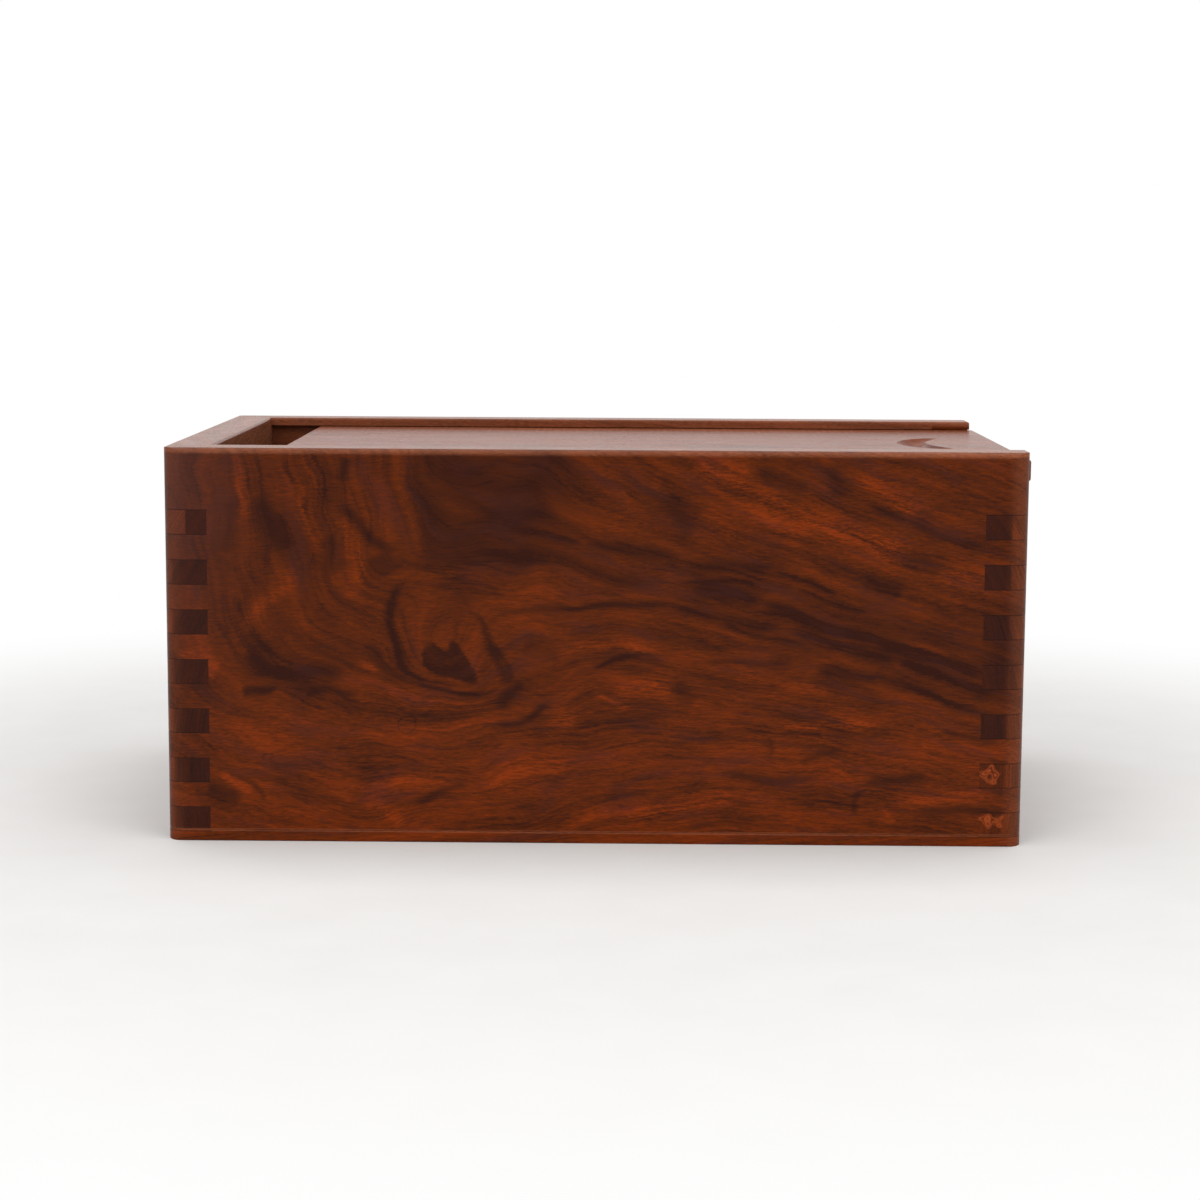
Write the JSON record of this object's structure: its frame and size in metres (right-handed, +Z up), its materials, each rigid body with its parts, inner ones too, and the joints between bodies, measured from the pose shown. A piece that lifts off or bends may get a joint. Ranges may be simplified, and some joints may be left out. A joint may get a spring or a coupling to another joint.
{
  "type": "slide-top game box",
  "caption": "Finger-jointed hardwood storage box whose flat lid slides out lengthwise in grooves, with a crescent finger nick.",
  "frame": {"origin": "middle of the underside of the box, on the surface it stands on, leaving out the lid's overhang", "axes": "+X along the length, the way the lid slides open; +Y from the front wall to the back wall; +Z up"},
  "size_m": [0.2465, 0.149, 0.113],
  "materials": {
    "side_rosewood": "satin, waxed, flowing grain with dark streaks and a knot",
    "end_rosewood": "satin, waxed, dark end grain at the pins",
    "bottom_rosewood": "satin",
    "lid_rosewood": "satin, waxed, straight grain along its length"
  },
  "bodies": {
    "box": {"front_wall": "side_rosewood", "back_wall": "side_rosewood", "left_end_wall": "end_rosewood", "right_end_wall": "end_rosewood", "bottom_panel": "bottom_rosewood"},
    "lid": {"sliding_lid": "lid_rosewood"}
  },
  "joints": [
    {"name": "lid_slide", "type": "slide", "parent": "box", "child": "lid", "axis": [1, 0, 0], "range_m": [-0.01575, 0.2163]}
  ]
}
